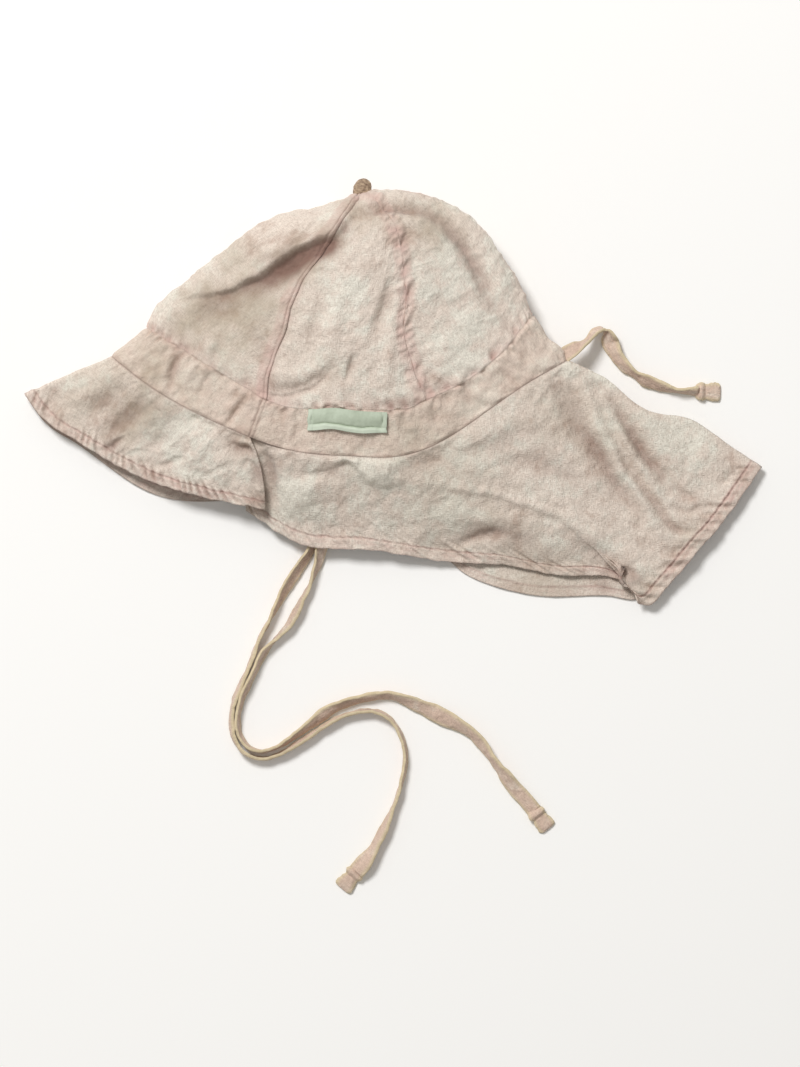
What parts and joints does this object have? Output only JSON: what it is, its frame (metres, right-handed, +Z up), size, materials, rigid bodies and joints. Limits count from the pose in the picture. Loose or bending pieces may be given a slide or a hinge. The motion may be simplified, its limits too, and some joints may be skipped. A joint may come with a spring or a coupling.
{
  "type": "baby sun hat",
  "caption": "Soft cloth baby sun hat with a panelled crown, a brim, a neck flap and chin ties, lying on its side.",
  "frame": {"origin": "on the floor under the middle of the lying hat, without its ties", "axes": "+X to the back of the hat, +Y to the top of its crown, +Z up, away from the floor that the hat's side lies on"},
  "size_m": [0.3474, 0.336, 0.0371],
  "materials": {
    "crinkled_linen": "crinkled woven linen, matt",
    "band_linen": "crinkled woven linen, matt, a little pinker",
    "rolled_linen": "rolled strip of the same linen",
    "woven_label": "bare woven ribbon, pale mint",
    "tie_linen": "folded and stitched strip of linen"
  },
  "bodies": {
    "root": {"crown_panel_1": "crinkled_linen", "crown_panel_2": "crinkled_linen", "crown_panel_3": "crinkled_linen", "crown_panel_4": "crinkled_linen", "crown_panel_5": "crinkled_linen", "crown_panel_6": "crinkled_linen", "band": "band_linen", "brim": "crinkled_linen", "neck_flap": "crinkled_linen", "top_stem": "rolled_linen", "label": "woven_label", "chin_tie_near": "tie_linen", "chin_knot_near": "tie_linen", "chin_tie_far": "tie_linen", "chin_knot_far": "tie_linen", "back_tie": "tie_linen", "back_knot": "tie_linen"}
  },
  "joints": []
}
